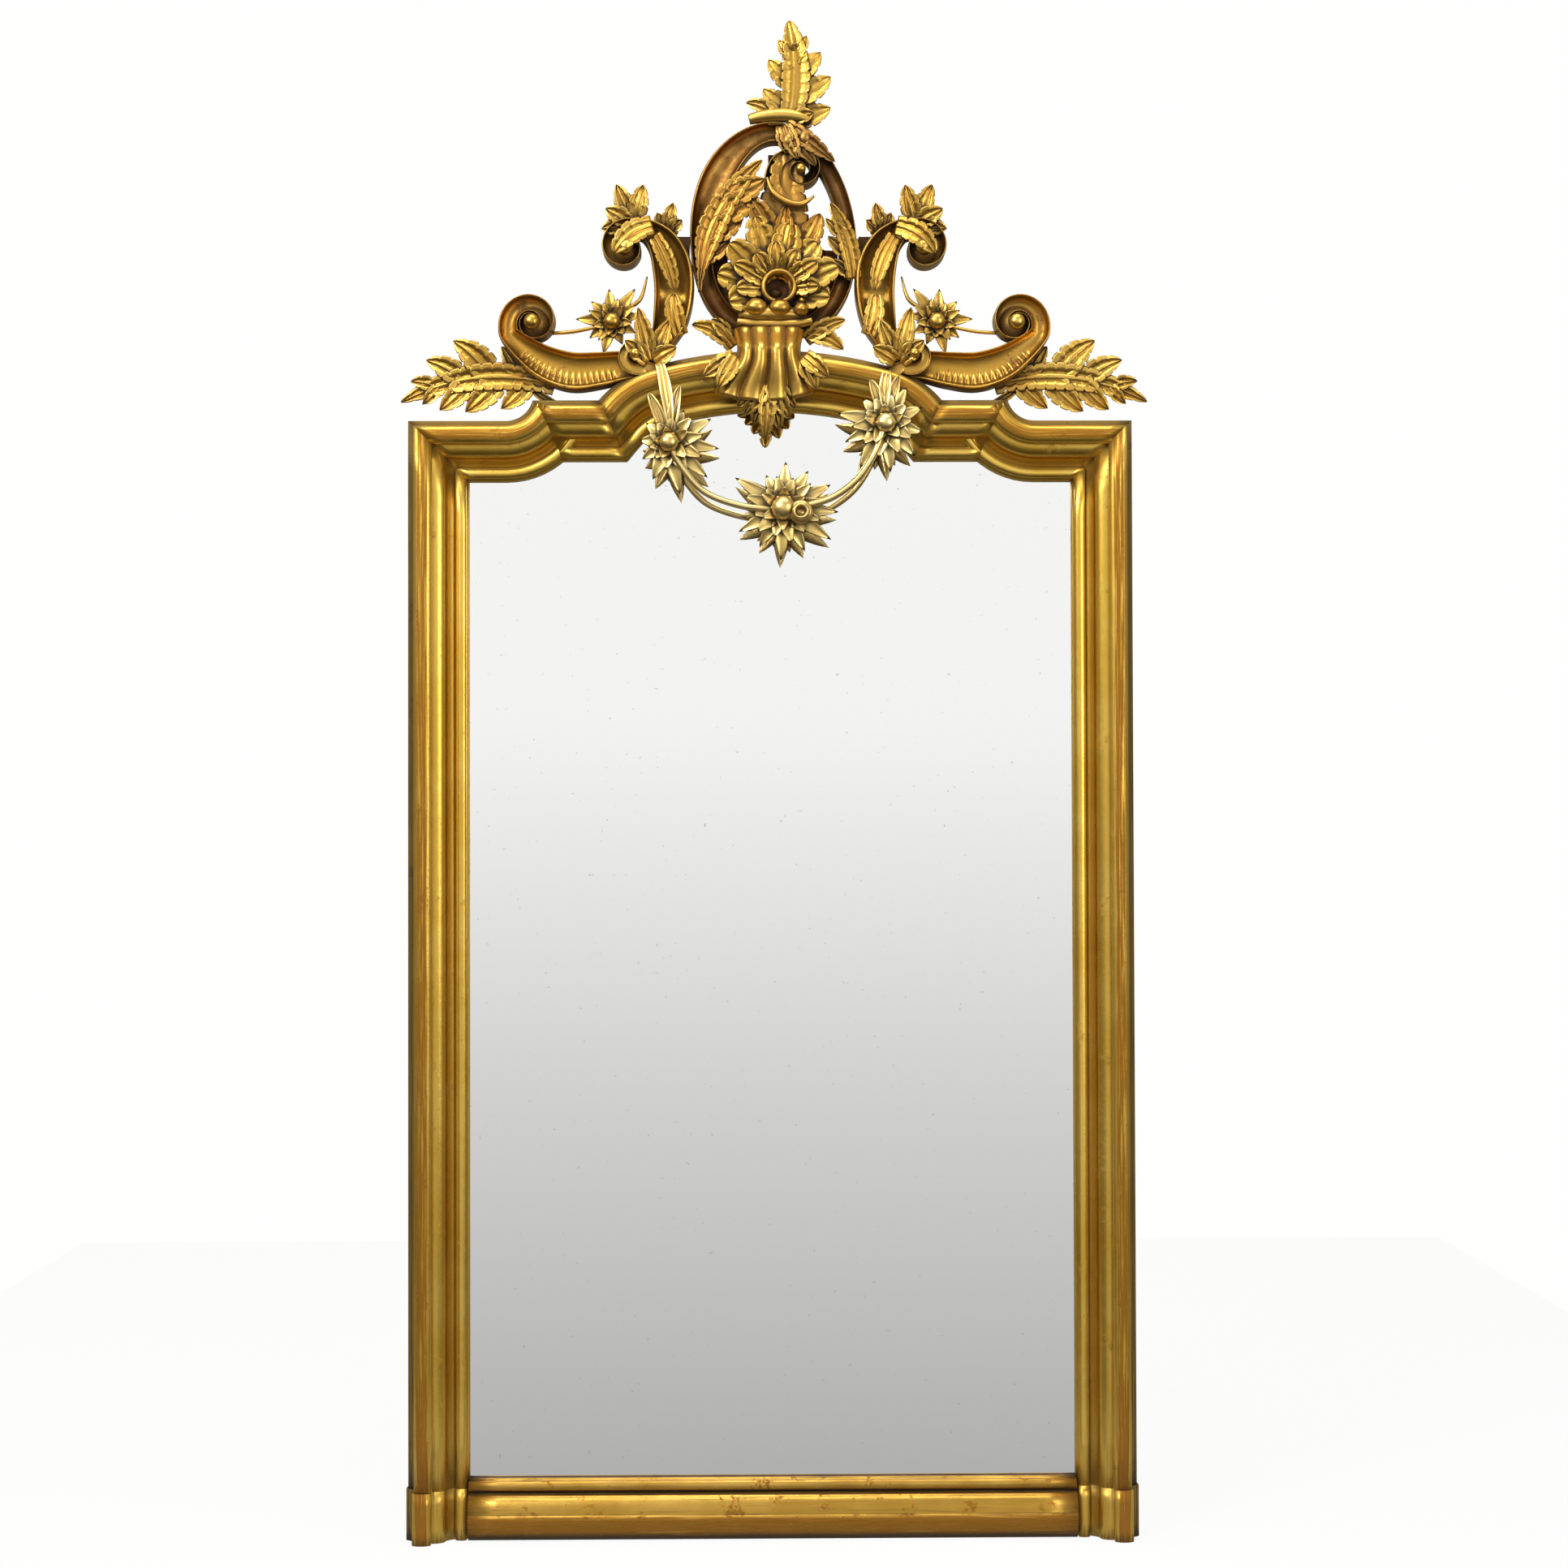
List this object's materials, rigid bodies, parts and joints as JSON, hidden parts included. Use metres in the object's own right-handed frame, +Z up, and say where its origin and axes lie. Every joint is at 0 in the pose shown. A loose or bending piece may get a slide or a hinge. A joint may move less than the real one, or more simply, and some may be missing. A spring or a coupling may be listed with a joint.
{
  "type": "trumeau mirror",
  "caption": "Tall giltwood wall mirror with an arched, stepped moulding and a carved scroll, shell and leaf crest; hangs by iron rings on its back.",
  "frame": {"origin": "on the wall plane, in the middle of the frame's foot", "axes": "+Z up, +Y into the wall, so the gilt front looks along -Y; +X to the viewer's right"},
  "size_m": [1.024, 0.114, 2.063],
  "materials": {
    "gilt": "water-gilt over red bole, worn",
    "gilt_dark": "gilt, dulled and dirty",
    "pine": "old bare pine, darkened",
    "board": "rough-sawn old pine",
    "mirror": "silvered glass",
    "iron": "blackened wrought iron"
  },
  "bodies": {
    "root": {"apex_leaf": "gilt", "arch_moulding": "gilt", "backboard_left": "board", "backboard_middle": "board", "backboard_nails": "iron", "backboard_right": "board", "base_block_left": "gilt", "base_block_right": "gilt", "bottom_moulding": "gilt", "bridge_left": "gilt_dark", "bridge_right": "gilt_dark", "carcass_rail_bottom": "pine", "carcass_rail_top": "pine", "carcass_stile_left": "pine", "carcass_stile_right": "pine", "centre_loop": "gilt", "centre_shell": "gilt", "centre_volute": "gilt", "clasp": "gilt", "clasp_leaf_left": "gilt", "clasp_leaf_right": "gilt", "clasp_wing_left": "gilt", "clasp_wing_right": "gilt", "crest_batten": "pine", "crest_nails": "iron", "festoon_flower_centre": "gilt", "festoon_flower_left": "gilt", "festoon_flower_right": "gilt", "festoon_stem_left": "gilt", "festoon_stem_right": "gilt", "glazing_blocks": "pine", "hanger_nails": "iron", "hanger_strap_left": "iron", "hanger_strap_right": "iron", "junction_leaf_left": "gilt", "junction_leaf_right": "gilt", "loop_leaf_left": "gilt", "loop_leaf_right": "gilt", "lower_scroll_left": "gilt", "lower_scroll_right": "gilt", "mirror_glass": "mirror", "outer_leaf_left": "gilt", "outer_leaf_right": "gilt", "shell_collar": "gilt", "shoulder_moulding_left": "gilt", "shoulder_moulding_right": "gilt", "sprig_left": "gilt", "sprig_right": "gilt", "step_moulding_left": "gilt", "step_moulding_right": "gilt", "stile_moulding_left": "gilt", "stile_moulding_right": "gilt", "tip_leaf_left": "gilt", "tip_leaf_right": "gilt", "upper_scroll_left": "gilt", "upper_scroll_right": "gilt"},
    "ring_left": {"hanger_ring_left": "iron"},
    "ring_right": {"hanger_ring_right": "iron"}
  },
  "joints": [
    {"name": "ring_left_swing", "type": "hinge", "parent": "root", "child": "ring_left", "pos_m": [-0.463, -0.00845, 1.29], "axis": [1, 0, 0], "range_deg": [0, 170]},
    {"name": "ring_right_swing", "type": "hinge", "parent": "root", "child": "ring_right", "pos_m": [0.463, -0.00845, 1.29], "axis": [1, 0, 0], "range_deg": [0, 170]}
  ]
}
